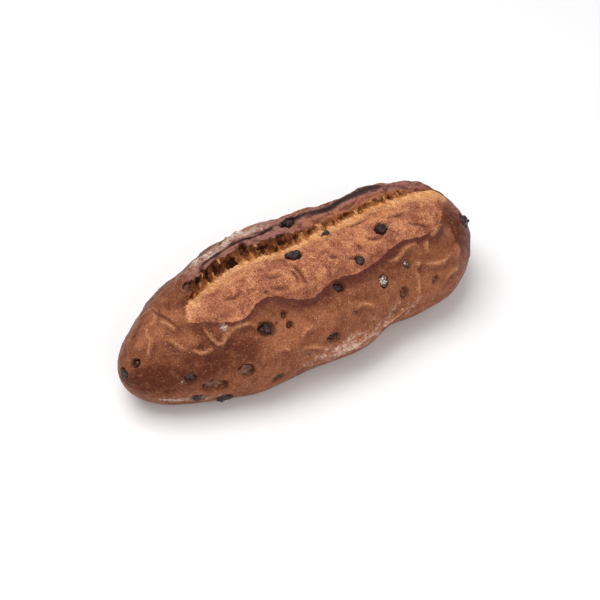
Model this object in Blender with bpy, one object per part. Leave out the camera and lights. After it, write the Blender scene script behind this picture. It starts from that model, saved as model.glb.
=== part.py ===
"""An olive batard: a hand-shaped loaf with one long slash, and chopped olives baked into its crust.

Metres, +Z up. X runs along the loaf, the slash opens towards -Y, and the loaf stands on Z = 0.
A place on the crust is an x along the loaf and an angle around it, seen from its axis:
0 is the back, 90 the top, 180 the front and 270 the underside.
"""

import math
import random

import bmesh
import bpy
import numpy as np
from mathutils import Matrix, Vector
from mathutils.bvhtree import BVHTree

MM = 0.001

# The loaf without its slash
LENGTH = 270 * MM
WIDTH = 115 * MM
HEIGHT = 76 * MM
BELLY_HEIGHT = 31 * MM  # where the sides are widest
TIP_HEIGHT = 27 * MM  # the outermost points of the two ends
SINK = 11 * MM  # how much of the round body has spread flat on the floor
BASE_FILLET = 5 * MM
TAPER = (1.5, 3.2)  # left and right end seen from above: a higher power is a blunter end
CROWN = (1.85, 3.7)  # and seen from the side
UNDERSIDE = (4.0, 4.0)
SECTION_POWER = 2.15  # 2 would be an ellipse
WAIST = (0.11, 49 * MM, 37 * MM)  # how much narrower, where along the loaf, and over what half length
SWAY = 4 * MM  # how far the two ends swing to the front and to the back

# Waves in the hand-shaped surface: length along the loaf, waves around it, height, phase
WAVES = (
    (74 * MM, 2, 0.6 * MM, 2.1),
    (47 * MM, 3, 0.5 * MM, 4.0),
)

# Lumps and, if negative, hollows: x, degrees around, half length, half turn in degrees, height
LUMPS = (
    (-112 * MM, 50, 14 * MM, 35, -2.5 * MM),
    (-84 * MM, 55, 10 * MM, 30, 2.0 * MM),
    (-58 * MM, 203, 16 * MM, 32, 4.0 * MM),
    (-22 * MM, 200, 17 * MM, 35, -2.5 * MM),
    (28 * MM, 200, 22 * MM, 35, 2.5 * MM),
    (92 * MM, 188, 15 * MM, 35, 2.5 * MM),
)

# The crease across the left end, whose cap stands a little above the crust beside it
CREASE_X = -95 * MM
CREASE_STEP = 2.2 * MM
CREASE_CENTRE, CREASE_HALF_TURN = 72.0, 40.0  # degrees around
CAP_LENGTH = 20 * MM

# The slash. Distances across it run forward over the crust from this angle, and are given at the
# loaf's full girth: they shrink with the girth towards the ends.
SLASH_ANGLE = 64.0
SLASH_START, SLASH_END = -92 * MM, 114 * MM
SLASH_FADE = 17 * MM

# Three lines along the slash as (x, distance across) in millimetres: the ear's edge, the deepest
# part of the tear, and the scalloped edge where the torn crust meets the burst
EAR_EDGE = ((-95, 12), (-82, 10), (-72, 6), (-60, 3), (-30, 3), (2, 5), (20, 3), (50, 1), (112, 3))
TEAR_LINE = ((-95, 24), (-80, 20), (-68, 15), (-50, 12), (-36, 14), (-18, 19), (30, 20), (60, 17), (112, 13))
CRUST_EDGE = (
    (-98, 38), (-91, 41), (-83, 50), (-72, 59), (-58, 62), (-48, 55), (-37, 55), (-25, 63), (-14, 67),
    (4, 62), (28, 63), (44, 61), (63, 56), (78, 58), (92, 57), (102, 51), (109, 39), (118, 30),
)  # fmt: skip

EAR_LIFT = 5.5 * MM
EAR_RUN = 24 * MM  # the crust behind the edge that lifted with it
TEAR_DEPTH = (7.0 * MM, 3.6 * MM)  # left and right of the loaf's middle
BURST_BULGE = 1.5 * MM
EDGE_STEP = 1.0 * MM  # the torn crust stands above the burst that came out from under it
EDGE_RUN = 13 * MM

# Rings along the loaf, and points round each ring behind and in front of the slash
RINGS = 78
BACK_POINTS, FRONT_POINTS = 13, 15
SECTION_SAMPLES = 361

# Olive pieces in sight from the front: x in millimetres, degrees around, length, width, turn in
# degrees, and how far the top stands out of the crust, or lies under it if negative
OLIVES = (
    (57, 102, 9.5, 8.0, 10, 2.0),
    (-8, 97, 10.0, 8.0, -10, 1.8),
    (30, 119, 6.5, 5.5, 20, 0.3),
    (7, 132, 8.0, 6.0, -20, 0.2),
    (40, 144, 7.5, 7.0, 70, -0.2),
    (61, 139, 6.0, 4.0, 80, 0.1),
    (53, 163, 7.5, 6.5, 60, -1.0),
    (78, 164, 6.0, 5.0, 30, -1.0),
    (-48, 141, 11.0, 8.5, -30, 0.6),
    (-34, 135, 5.0, 4.0, 60, -0.3),
    (-33, 145, 5.5, 4.5, 80, -0.6),
    (-7, 169, 8.0, 6.5, 10, -0.3),
    (-67, 171, 10.0, 8.5, 5, 0.4),
    (-47, 190, 8.0, 5.5, 10, 0.2),
    (-101, 167, 8.5, 6.0, 35, -0.2),
    (-126, 110, 6.5, 5.5, 0, -0.3),
    (-133, 105, 7.0, 4.5, 80, 0.8),
    (-87, 183, 12.5, 8.5, 5, -0.8),
    (-96, 200, 10.0, 6.5, 0, 0.6),
    (-80, 205, 9.0, 6.5, 10, 2.2),
    (123, 128, 8.5, 7.0, 90, 2.6),
    (22, 88, 6.5, 4.5, 0, 0.6),
    (-77, 75, 7.5, 5.0, 20, 0.2),
    (6, 70, 9.0, 5.0, 5, -0.4),
    (86, 82, 4.5, 3.5, 0, 0.1),
)
BACK_OLIVES = 13
BACK_SPAN = 112 * MM  # they lie between minus and plus this far along the loaf
BACK_ANGLES = (-26.0, 34.0)
BACK_SIZES = (5.5 * MM, 10 * MM)
OLIVE_CORNERS = 16
POCKET_GAP = 0.55 * MM
POCKET_RISE = 2.5 * MM  # how far above the olive its pocket is still cut
SEED = 7


def ease(x, start, end):
    """0 before start and 1 after end, with a smooth rise between them."""
    t = np.clip((x - start) / (end - start), 0, 1)
    return t * t * (3 - 2 * t)


def mound(x, centre, reach):
    """1 at the centre, falling smoothly to nearly nothing at twice the reach."""
    return np.exp(-(((x - centre) / reach) ** 2))


def hermite(start, end, leaving, arriving, t):
    """Point at t on the smooth curve from start to end with the given slopes there."""
    return (
        start * (1 + 2 * t) * (1 - t) ** 2
        + end * t * t * (3 - 2 * t)
        + leaving * t * (1 - t) ** 2
        - arriving * t * t * (1 - t)
    )


def follow(line, x):
    """Value at x of a smooth line through (x, value) points given in millimetres."""
    at, value = np.array(line).T * MM
    slope = np.gradient(value, at)
    i = np.clip(np.searchsorted(at, x) - 1, 0, len(at) - 2)
    run = at[i + 1] - at[i]
    t = np.clip((x - at[i]) / run, 0, 1)
    return hermite(value[i], value[i + 1], run * slope[i], run * slope[i + 1], t)


def swell(x, powers):
    """How full the loaf is at x: about 1 in the middle and 0 at the tips, blunter with a higher power."""
    power = np.where(x < 0, powers[0], powers[1])
    narrowing, at, reach = WAIST
    fullness = np.sqrt(np.clip(1 - np.abs(2 * x / LENGTH) ** power, 0, 1))
    return fullness * (1 - narrowing * mound(x, at, reach))


def unevenness(x, around):
    """How far the hand-shaped surface stands out from the even one."""
    degrees = np.degrees(around)
    height = sum(
        size * np.cos(math.tau * x / length + phase) * np.cos(turns * around + 2 * phase)
        for length, turns, size, phase in WAVES
    )
    for at, turned, half_length, half_turn, size in LUMPS:
        height = height + size * mound(x, at, half_length) * mound(degrees, turned, half_turn)
    crease = CREASE_X + 1.5 * MM * np.sin(degrees / 9)
    cap = (1 - ease(x, crease - 1.2 * MM, crease + 0.8 * MM)) * ease(x, crease - CAP_LENGTH, crease - 1 * MM)
    return height + CREASE_STEP * cap * mound(degrees, CREASE_CENTRE, CREASE_HALF_TURN) ** 2


def flattened(z):
    """Heights with what would be under the floor spread flat on it, and a fillet along the edge."""
    rising = np.clip(z + BASE_FILLET, 0, 2 * BASE_FILLET)
    return np.where(z > BASE_FILLET, z, rising**2 / (4 * BASE_FILLET))


def body(x, around):
    """Y and Z of the loaf with no slash, for an x and angles around in radians."""
    fullness = swell(x, TAPER)
    side, up = np.cos(around), np.sin(around)
    rounding = 2 / SECTION_POWER
    crown = (HEIGHT - BELLY_HEIGHT) * swell(x, CROWN)
    under = (BELLY_HEIGHT + SINK) * swell(x, UNDERSIDE)
    uneven = unevenness(x, around) * fullness
    y = WIDTH / 2 * fullness * np.sign(side) * np.abs(side) ** rounding + uneven * side
    z = np.where(up > 0, crown, under) * np.sign(up) * np.abs(up) ** rounding + uneven * up
    axis_y = SWAY * (2 * x / LENGTH) ** 3
    axis_z = TIP_HEIGHT + (BELLY_HEIGHT - TIP_HEIGHT) * fullness
    return axis_y + y, flattened(axis_z + z)


def wander(x, size, phase):
    """An uneven offset of about this size along the loaf, as in anything torn."""
    return size * (0.6 * np.sin(x / (9 * MM) + phase) + 0.4 * np.sin(x / (4.3 * MM) + 3 * phase))


def slash_knots(x):
    """The slash in section at x: (points from here to the next knot, distance across, height)."""
    opened = ease(x, SLASH_START, SLASH_START + SLASH_FADE) * (1 - ease(x, SLASH_END - SLASH_FADE, SLASH_END))
    lift = opened * (EAR_LIFT + wander(x, 0.8 * MM, 1.0))
    depth = TEAR_DEPTH[0] + (TEAR_DEPTH[1] - TEAR_DEPTH[0]) * ease(x, -20 * MM, 30 * MM)
    tear = opened * (depth + wander(x, 0.9 * MM, 2.0))
    edge = follow(EAR_EDGE, x)
    line = follow(TEAR_LINE, x) + opened * wander(x, 1.0 * MM, 5.0)
    crust = follow(CRUST_EDGE, x)
    burst = crust - line
    bulge, step = opened * BURST_BULGE, opened * EDGE_STEP
    return (
        (3, edge - EAR_RUN, 0),
        (2, edge - 12 * MM, 0.22 * lift),
        (2, edge - 4 * MM, 0.75 * lift),
        (1, edge - 1 * MM, lift),
        (1, edge + 1.2 * MM, lift - 0.6 * MM * opened),
        (1, edge + 2.6 * MM - 1.6 * MM * opened, lift - 2.6 * MM * opened),
        (2, edge + 0.36 * (line - edge), 0.35 * lift - 0.9 * MM * opened),
        (1, line - 3.4 * MM, -0.4 * tear),
        (1, line - 1.8 * MM, -0.85 * tear),
        (1, line - 0.2 * MM, -tear),
        (1, line + 1.5 * MM, -0.65 * tear),
        (1, line + 2 * MM + 0.06 * burst, -0.15 * tear),
        (2, line + 0.25 * burst, 0.5 * bulge),
        (2, line + 0.55 * burst, bulge),
        (2, line + 0.85 * burst, 0.35 * bulge),
        (1, crust - 1.4 * MM, -0.6 * step),
        (1, crust + 0.6 * MM, step),
        (3, crust + 4 * MM, 0.6 * step),
        (1, crust + EDGE_RUN, 0),
    )


def smooth_through(knots):
    """Points on a smooth curve through the knots, as many after each as it asks for."""
    at = np.array([(across, height) for _, across, height in knots])
    gap = np.linalg.norm(np.diff(at, axis=0), axis=1)[:, None]
    slope = np.diff(at, axis=0) / gap
    before, after = np.concatenate([slope[:1], slope]), np.concatenate([slope, slope[-1:]])
    gap_before, gap_after = np.concatenate([gap[:1], gap]), np.concatenate([gap, gap[-1:]])
    tangent = (before * gap_after + after * gap_before) / (gap_before + gap_after)
    curve = [
        hermite(at[i], at[i + 1], gap[i] * tangent[i], gap[i] * tangent[i + 1], step / count)
        for i, (count, _, _) in enumerate(knots[:-1])
        for step in range(count)
    ]
    return np.array([*curve, at[-1]])


def ring_places(count):
    """X of each ring, spread evenly over the outline seen from above, without the two tips."""
    turn = np.linspace(-math.pi / 2, math.pi / 2, 4001)
    x = LENGTH / 2 * np.sin(turn)
    steps = np.hypot(np.diff(x), np.diff(WIDTH / 2 * swell(x, TAPER)))
    travelled = np.concatenate([[0], np.cumsum(steps)])
    return np.interp(np.linspace(0, travelled[-1], count + 2)[1:-1], travelled, x)


def section_at(x):
    """Angles round the loaf at x, the section's points there, and the way travelled round it."""
    around = np.linspace(-math.pi / 2, 1.5 * math.pi, SECTION_SAMPLES)
    points = np.stack(body(x, around), axis=1)
    steps = np.linalg.norm(np.diff(points, axis=0), axis=1)
    return around, points, np.concatenate([[0], np.cumsum(steps)])


def loaf_rings():
    """Rings of points along the loaf, each from the underside up the back and down the front."""
    places = ring_places(RINGS)
    sections = [section_at(x) for x in places]
    girth = max(travelled[-1] for _, _, travelled in sections)
    rings = []
    for x, (around, points, travelled) in zip(places, sections):
        knots = smooth_through(slash_knots(x)) * [travelled[-1] / girth, 1]
        origin = np.interp(math.radians(SLASH_ANGLE), around, travelled)
        across = origin + knots[:, 0]
        behind = np.linspace(0, across[0], BACK_POINTS, endpoint=False)
        ahead = np.linspace(across[-1], travelled[-1], FRONT_POINTS + 1)[1:-1]
        along = np.concatenate([behind, across, ahead])
        out = np.concatenate([0 * behind, knots[:, 1], 0 * ahead])
        tangent = np.gradient(points, travelled, axis=0)
        tangent /= np.linalg.norm(tangent, axis=1)[:, None]
        y, z = (np.interp(along, travelled, values) for values in points.T)
        tangent_y, tangent_z = (np.interp(along, travelled, values) for values in tangent.T)
        rings.append(np.stack([np.full_like(y, x), y + out * tangent_z, z - out * tangent_y], axis=1))
    return np.array(rings)


def make_material(name, colour, roughness):
    material = bpy.data.materials.new(name)
    material.use_nodes = True
    shader = material.node_tree.nodes["Principled BSDF"]
    shader.inputs["Base Color"].default_value = (*colour, 1)
    shader.inputs["Roughness"].default_value = roughness
    return material


def make_object(name, shape, material):
    """Turn a bmesh into a smooth-shaded object of the scene."""
    for face in shape.faces:
        face.smooth = True
    mesh = bpy.data.meshes.new(name)
    shape.to_mesh(mesh)
    shape.free()
    if material:
        mesh.materials.append(material)
    made = bpy.data.objects.new(name, mesh)
    bpy.context.scene.collection.objects.link(made)
    return made


def loaf_shape():
    """The whole loaf as one closed grid of rings with a fan at each tip."""
    shape = bmesh.new()
    rows = [[shape.verts.new(point) for point in ring] for ring in loaf_rings()]
    tips = [shape.verts.new((side * LENGTH / 2, side * SWAY, TIP_HEIGHT)) for side in (-1, 1)]
    for row, after in zip(rows, rows[1:]):
        for i in range(len(row)):
            shape.faces.new((row[i - 1], row[i], after[i], after[i - 1]))
    for i in range(len(rows[0])):
        shape.faces.new((tips[0], rows[0][i], rows[0][i - 1]))
        shape.faces.new((tips[1], rows[-1][i - 1], rows[-1][i]))
    bmesh.ops.recalc_face_normals(shape, faces=shape.faces)
    bmesh.ops.triangulate(shape, faces=shape.faces)
    return shape


def hull_of(points):
    shape = bmesh.new()
    for point in points:
        shape.verts.new(point)
    hull = bmesh.ops.convex_hull(shape, input=shape.verts)
    unused = [item for item in hull["geom_interior"] if isinstance(item, bmesh.types.BMVert)]
    bmesh.ops.delete(shape, geom=unused, context="VERTS")
    return shape


def chunk_corners(size, draw):
    """Corners of one chopped piece: spread evenly over an ellipsoid, then each pushed about."""
    corners = []
    golden_turn = math.pi * (3 - math.sqrt(5))
    for i in range(OLIVE_CORNERS):
        height = 1 - (2 * i + 1) / OLIVE_CORNERS
        around = golden_turn * i + draw.uniform(-0.3, 0.3)
        spread = math.sqrt(1 - height * height)
        corner = Vector((spread * math.cos(around), spread * math.sin(around), height))
        corner *= draw.uniform(0.95, 1.12)
        corners.append(Vector(c * s / 2 for c, s in zip(corner, size)))
    return corners


def crust_at(tree, x, around):
    """Point on the finished crust and the way out of it at a place on the loaf."""
    nearby = np.radians([around - 2, around, around + 2])
    (y0, y, y1), (z0, z, z1) = body(x, nearby)
    outward = Vector((0, z1 - z0, y0 - y1)).normalized()
    point = Vector((x, y, z))
    hit, normal, _, _ = tree.ray_cast(point + outward * 20 * MM, -outward)
    return hit, (outward + normal).normalized()


def back_olives(draw):
    """Olive pieces on the side away from the slash, spread like those in sight."""
    for i in range(BACK_OLIVES):
        x = BACK_SPAN * (2 * (i + 0.5 + draw.uniform(-0.2, 0.2)) / BACK_OLIVES - 1)
        share = (0.618 * i + 0.2) % 1
        around = BACK_ANGLES[0] + (BACK_ANGLES[1] - BACK_ANGLES[0]) * share
        length = draw.uniform(*BACK_SIZES)
        width = length * draw.uniform(0.7, 0.9)
        yield x, around, length, width, draw.uniform(-60, 60), draw.uniform(-0.5, 1.2) * MM


def make_olives(tree):
    """Make each olive piece in its place, and a slightly larger pocket cutter around it."""
    draw = random.Random(SEED)
    material = make_material("olive", (0.018, 0.014, 0.014), 0.35)
    pockets = bpy.data.collections.new("pockets")
    bpy.context.scene.collection.children.link(pockets)
    in_sight = [(x * MM, around, a * MM, b * MM, turn, out * MM) for x, around, a, b, turn, out in OLIVES]
    for i, (x, around, length, width, turn, proud) in enumerate([*in_sight, *back_olives(draw)]):
        thickness = 0.9 * width
        crust, outward = crust_at(tree, x, around)
        place = outward.to_track_quat("Z", "X")
        along = place.inverted() @ Vector((1, 0, 0))
        spin = math.atan2(along.y, along.x) + math.radians(turn)
        pose = Matrix.Translation(crust + outward * (proud - thickness / 2)) @ place.to_matrix().to_4x4()
        pose = pose @ Matrix.Rotation(spin, 4, "Z")
        corners = chunk_corners((length, width, thickness), draw)
        olive = make_object(f"olive_{i + 1:02d}", hull_of(corners), material)
        olive.matrix_world = pose
        room = [corner + corner.normalized() * POCKET_GAP for corner in corners]
        rise = Vector((0, 0, POCKET_RISE))
        cutter = make_object(f"pocket_{i + 1:02d}", hull_of([*room, *(corner + rise for corner in room)]), None)
        cutter.matrix_world = pose
        cutter.hide_render = True
        cutter.display_type = "WIRE"
        bpy.context.scene.collection.objects.unlink(cutter)
        pockets.objects.link(cutter)
    return pockets


def main():
    for left in list(bpy.data.objects):
        bpy.data.objects.remove(left)
    shape = loaf_shape()
    tree = BVHTree.FromBMesh(shape)
    loaf = make_object("loaf", shape, make_material("crust", (0.30, 0.12, 0.05), 0.5))
    cut = loaf.modifiers.new("pockets", "BOOLEAN")
    cut.operation = "DIFFERENCE"
    cut.operand_type = "COLLECTION"
    cut.collection = make_olives(tree)


main()
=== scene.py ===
"""The looks of an olive batard: its crust, the torn slash, the olive pieces, floor, lights and camera.

Metres, except where a table says millimetres, and +Z up. X runs along the loaf, the slash opens towards
-Y, and the loaf stands on Z = 0.
A place on the crust is an x along the loaf and an angle around it, seen from its axis:
0 is the back, 90 the top, 180 the front and 270 the underside.
"""

import math
from dataclasses import dataclass
from types import SimpleNamespace

import bmesh
import bpy
import numpy as np
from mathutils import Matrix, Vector, noise
from mathutils.bvhtree import BVHTree
from mathutils.kdtree import KDTree


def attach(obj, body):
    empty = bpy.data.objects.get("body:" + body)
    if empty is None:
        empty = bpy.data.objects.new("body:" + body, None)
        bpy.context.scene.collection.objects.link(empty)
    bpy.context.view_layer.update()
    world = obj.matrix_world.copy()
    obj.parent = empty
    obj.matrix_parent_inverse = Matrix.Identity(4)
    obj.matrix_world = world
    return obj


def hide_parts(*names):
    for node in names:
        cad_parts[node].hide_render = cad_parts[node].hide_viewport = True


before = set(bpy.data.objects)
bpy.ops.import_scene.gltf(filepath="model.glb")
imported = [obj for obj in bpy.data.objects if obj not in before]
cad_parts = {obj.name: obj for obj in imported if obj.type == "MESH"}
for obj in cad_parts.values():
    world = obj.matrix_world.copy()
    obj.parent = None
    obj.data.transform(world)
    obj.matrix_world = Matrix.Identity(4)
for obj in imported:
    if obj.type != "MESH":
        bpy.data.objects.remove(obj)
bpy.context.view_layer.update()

MM = 0.001

# The loaf without its slash, as in the solids
LENGTH = 270 * MM
WIDTH = 115 * MM
HEIGHT = 76 * MM
BELLY_HEIGHT = 31 * MM  # where the sides are widest
TIP_HEIGHT = 27 * MM  # the outermost points of the two ends
SINK = 11 * MM  # how much of the round body has spread flat on the floor
BASE_FILLET = 5 * MM
TAPER = (1.5, 3.2)  # left and right end seen from above: a higher power is a blunter end
CROWN = (1.85, 3.7)  # and seen from the side
UNDERSIDE = (4.0, 4.0)
SECTION_POWER = 2.15  # 2 would be an ellipse
WAIST = (0.11, 49 * MM, 37 * MM)  # how much narrower, where along the loaf, and over what half length
SWAY = 4 * MM  # how far the two ends swing to the front and to the back

# Waves in the hand-shaped surface: length along the loaf, waves around it, height, phase
WAVES = (
    (74 * MM, 2, 0.6 * MM, 2.1),
    (47 * MM, 3, 0.5 * MM, 4.0),
)

# Lumps and, if negative, hollows: x, degrees around, half length, half turn in degrees, height, with
# lengths in millimetres
LUMPS = (  # as in the solids
    (-112, 50, 14, 35, -2.5), (-84, 55, 10, 30, 2.0), (-58, 203, 16, 32, 4.0),
    (-22, 200, 17, 35, -2.5), (28, 200, 22, 35, 2.5), (92, 188, 15, 35, 2.5),
)  # fmt: skip
SMALL_LUMPS = (  # only on the fine surface
    (-116, 100, 5, 10, -0.9), (-111, 68, 6, 12, 1.2), (-105, 100, 7, 10, 1.2), (-101, 112, 7, 9, -0.9),
    (-87, 134, 7, 6, -1.4), (-73, 128, 5, 6, 1.2), (-60, 138, 9, 7, -1.8), (-45, 48, 30, 22, 0.9),
    (-26, 158, 7, 7, -0.9), (46, 205, 13, 35, -2.6), (60, 133, 6, 5, 1.0), (82, 146, 8, 7, -1.2),
    (98, 160, 9, 9, -1.0), (100, 150, 6, 7, 0.9), (104, 130, 5, 9, -1.0), (114, 60, 10, 32, 1.3),
)  # fmt: skip

# The step across the left end, whose cap stands a little above the crust beside it
STEP_X = -95 * MM
STEP_HEIGHT = 2.2 * MM
STEP_CENTRE, STEP_HALF_TURN = 72.0, 40.0  # degrees around
STEP_WANDER = 1.5 * MM
CAP_LENGTH = 20 * MM

# The slash, drawn finer than in the solids, where its right end stops 10 mm sooner. Distances across it
# run forward over the crust from this angle, and are given at the loaf's full girth: they shrink with
# the girth towards the ends.
SLASH_ANGLE = 64.0
SLASH_START, SLASH_END = -92 * MM, 124 * MM
SLASH_FADE = 17 * MM
EDGE_END = (96 * MM, 108 * MM)  # where the edge of the torn crust fades into the burst
WALL_START, WALL_END = (-81 * MM, -72 * MM), (88 * MM, 102 * MM)  # where the torn wall fades in and out

# Three lines along the slash as (x, distance across) in millimetres: the ear's edge, the deepest
# part of the tear, and the scalloped edge where the torn crust meets the burst
EAR_EDGE = ((-95, 12), (-82, 10), (-72, 6), (-60, 3), (-30, 3), (2, 5), (20, 3), (50, 1), (112, 3))
TEAR_LINE = (
    (-95, 24), (-80, 20), (-68, 15), (-50, 12), (-36, 14), (-18, 19),
    (8, 19.5), (28, 16), (48, 13.3), (70, 11.8), (90, 11), (112, 10),
)  # fmt: skip
CRUST_EDGE = (
    (-98, 38), (-91, 40), (-83, 47), (-72, 55), (-58, 59), (-48, 54), (-37, 55), (-25, 63), (-14, 67),
    (4, 62), (28, 63), (44, 61), (63, 56), (78, 58), (92, 57), (99, 53), (105, 46.5), (112, 38), (119, 30),
)  # fmt: skip

# How far the ear's edge is lifted, as (x, height) in millimetres
EAR_LIFT = (
    (-95, 5.5), (-70, 6.3), (-30, 6.6), (10, 5.8), (50, 6.0), (75, 6.6), (94, 4.2), (104, 3.0), (114, 1.2),
)  # fmt: skip
EAR_RUN = 24 * MM  # the crust behind the edge that lifted with it
TEAR_DEPTH = (7.0 * MM, 3.6 * MM)  # left and right of the loaf's middle
BURST_BULGE = 1.5 * MM
EDGE_STEP = 1.0 * MM  # the torn crust stands above the burst that came out from under it
EDGE_RUN = 13 * MM

# The fine surface: rings along the loaf, and points round each ring
RINGS = 397
EAR_KNOT, TEAR_KNOT = 3, 9  # which of the slash's knots are the ear's edge and the deepest part
UNDER_POINTS = 7  # on each half of the underside
BACK_POINTS, FRONT_POINTS = 34, 70  # on the two sides, up to the slash
FLOOR_ANGLES = (-42.0, 222.0)  # where the two sides begin
SECTION_SAMPLES, OUTLINE_SAMPLES = 361, 4001

# Fine relief: height, and the length over which it repeats
CRUST_WAVER = (0.85 * MM, 14 * MM)
CRUST_DIMPLES = (0.42 * MM, 5 * MM)
CRUST_GRAIN = (0.08 * MM, 2.4 * MM)
BURST_WAVER = (0.9 * MM, 9 * MM)
BURST_PEBBLE = (0.55 * MM, 3.2 * MM)
STRANDS = (0.9 * MM, 2.5 * MM)  # of the torn wall
THREADS = (1.4 * MM, 2.0 * MM)  # torn out of the burst next to the tear
EAR_CRUMPLE = (1.2 * MM, 3.0 * MM)

# The torn wall. Its pairs are for the left and the right of the loaf's middle.
WALL_HEIGHT = (10.5 * MM, 5.0 * MM)  # above the deepest part of the tear
WALL_FOOT = (1.0 * MM, 0.5 * MM)  # how far past that it ends
STRAND_STRETCH = (1, 0.35, 1)  # along the loaf, across the slash and up
THREAD_STRETCH = (1, 0.28, 1)
THREAD_REACH = (4 * MM, 16 * MM)  # where the threads begin to fade and where they end
HOLE_DEPTH, HOLE_WIDTH = 1.6 * MM, 3.0 * MM
# how deep the pits go, and how strongly they are darkened as painted shade
PIT_DEPTH, PIT_SHADE = (3.0 * MM, 1.6 * MM), (0.85, 0.35)
PITS = (  # in millimetres: x, height above the deepest part, half length, half height
    (-76, 9, 1.6, 1.6), (-76, 2, 2.6, 2.0), (-68, 7.5, 2.0, 2.4), (-60, 5.5, 1.9, 3.0), (-53, 5.5, 2.6, 4.4),
    (-42, 3.0, 4.6, 3.2), (-31, 10, 2.6, 2.4), (-20, 5.5, 4.2, 2.4), (-6, 4.5, 4.4, 2.4), (5, 4.0, 3.4, 1.8),
    (3, 15, 6.5, 1.8), (-4, 10, 7.0, 1.2), (18, 3.5, 3.0, 1.2), (31, 3.5, 3.0, 1.5), (45, 3.0, 4.5, 1.4),
    (63, 2.8, 5.5, 2.0), (80, 2.6, 4.0, 1.3), (96, 2.4, 3.4, 1.2),
)  # fmt: skip

# How much narrower the golden band beside the tear is, or wider if negative, as (x, width) in millimetres
GOLD_NARROWING = ((-90, 2), (-69, 0), (-46, -1), (-16, 0), (20, 3), (70, 3), (92, 0), (108, -6), (118, -6))

# The ear: its lumps, the baked skin on its underside, and the burnt line below its edge. The first three
# pairs are for the left and the right.
EAR_ROUGHNESS = (3.2 * MM, 0.8 * MM)  # height of the lumps
CHAR_CENTRE = (5.4 * MM, 3.0 * MM)  # down from the edge
CHAR_REACH = (1.0 * MM, 2.5 * MM)  # its half height
CHAR_START, CHAR_END = (-72 * MM, -54 * MM), (70 * MM, 95 * MM)  # where it fades in and out
CHAR_CRACK = 1.5 * MM  # depth of the crack in it
EAR_LUMP, EAR_SKIN = 8 * MM, 0.8 * MM  # length of the lumps, thickness of the skin

# The groove and the raised rim along the edge of the torn crust
EDGE_GROOVE, EDGE_RIM = 0.75 * MM, 0.35 * MM

# Ridges where the skin of the dough was pinched, each as (x in millimetres, degrees around) points
RIDGES = (
    ((-109, 56), (-104, 57), (-101, 68), (-104, 81), (-109, 83)),
    ((-110, 79), (-113, 90), (-113, 98), (-117, 107), (-120, 117)),
    ((-106, 109), (-103, 114), (-101, 124), (-97, 132)),
    ((-103, 87), (-100, 97), (-98, 106)),
    ((-83, 117), (-82, 128), (-78, 139), (-69, 131), (-57, 131), (-52, 140)),
    ((-96, 134), (-89, 141), (-82, 139)),
    ((-29, 160), (-25, 155), (-19, 152)),
    ((-28, 169), (-22, 171), (-14, 176)),
    ((-44, 160), (-41, 161), (-38, 166)),
    ((13, 154), (19, 152), (27, 159)),
    ((-2, 186), (7, 188), (22, 180)),
    ((26, 184), (43, 185), (61, 180)),
    ((49, 130), (55, 131), (60, 129), (64, 126), (70, 126), (73, 128)),
    ((83, 126), (88, 125), (97, 121)),
    ((66, 145), (71, 142)),
    ((72, 146), (76, 147), (81, 150), (88, 151), (96, 148)),
    ((85, 169), (92, 165), (99, 168)),
    ((81, 128), (78, 134), (79, 139)),
    ((62, 180), (64, 167), (66, 148)),
    # on the back
    ((-52, 38), (-44, 34), (-36, 35), (-30, 30)),
    ((12, 44), (20, 40), (30, 42), (36, 38)),
    ((60, 30), (66, 24), (75, 24)),
    ((-85, 28), (-80, 20), (-72, 18)),
    ((-8, 18), (2, 14), (12, 16)),
)
RIDGE_HEIGHT, RIDGE_REACH = 0.7 * MM, 0.8 * MM  # of the sharp crest
FOLD_HEIGHT, FOLD_REACH = 1.3 * MM, 2.0 * MM  # of the soft fold under it
FOLD_SHADE_DEPTH, FOLD_SHADE_REACH = 0.7 * MM, 2.2 * MM  # of the hollow below that, whose crust is also darkened as painted shade
FOLD_SHADE_TURN = 5.5  # degrees down from the ridge
HIGHEST_ON_BACK = 60  # degrees around: ridges above it lie on the front or the top

# Creases and slits, in the same way
CREASES = (
    ((-101, 58), (-101, 76), (-98, 92), (-96, 103), (-96, 113)),
    ((-17, 106), (-15.5, 111), (-16, 118)),
    ((-79, 115), (-77, 117)),
    ((12, 155), (14, 158)),
    ((-42, 139), (-40, 140)),
    ((-26, 178), (-23, 179)),
    ((-121, 66), (-117, 69)),
    ((-115, 63), (-112, 66)),
    ((90, 96), (92, 98)),
)
FAINT_CREASES = (  # round flakes of the burst
    ((-64, 104), (-58, 107), (-52, 106)),
    ((-39, 112), (-37, 116)),
    ((-34, 103), (-28, 107), (-22, 107)),
    ((-34, 112), (-28, 116), (-22, 116)),
    ((-23, 94), (-17, 94), (-15, 99)),
    ((-17, 101), (-13, 106), (-12, 114), (-13, 122)),
    ((12, 109), (17, 110)),
    ((22, 115), (25, 115), (29, 118)),
    ((33, 108), (39, 111)),
    ((37, 88), (43, 88), (50, 89), (56, 89)),
    ((44, 104), (50, 108), (57, 108)),
    ((66, 96), (74, 98), (80, 97)),
    ((75, 108), (81, 111), (85, 115), (90, 119)),
    ((98, 112), (101, 109)),
)
PATH_STEP = 0.6  # millimetres or degrees from mark to mark on all these paths
CREASE_DEPTH, CREASE_REACH = 1.4 * MM, 1.1 * MM
FAINTNESS, FAINT_REACH = 0.75, 1.54 * MM
FLAKE_REACH = 2.4 * MM  # how far the burst is darker beside the faint ones

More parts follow.
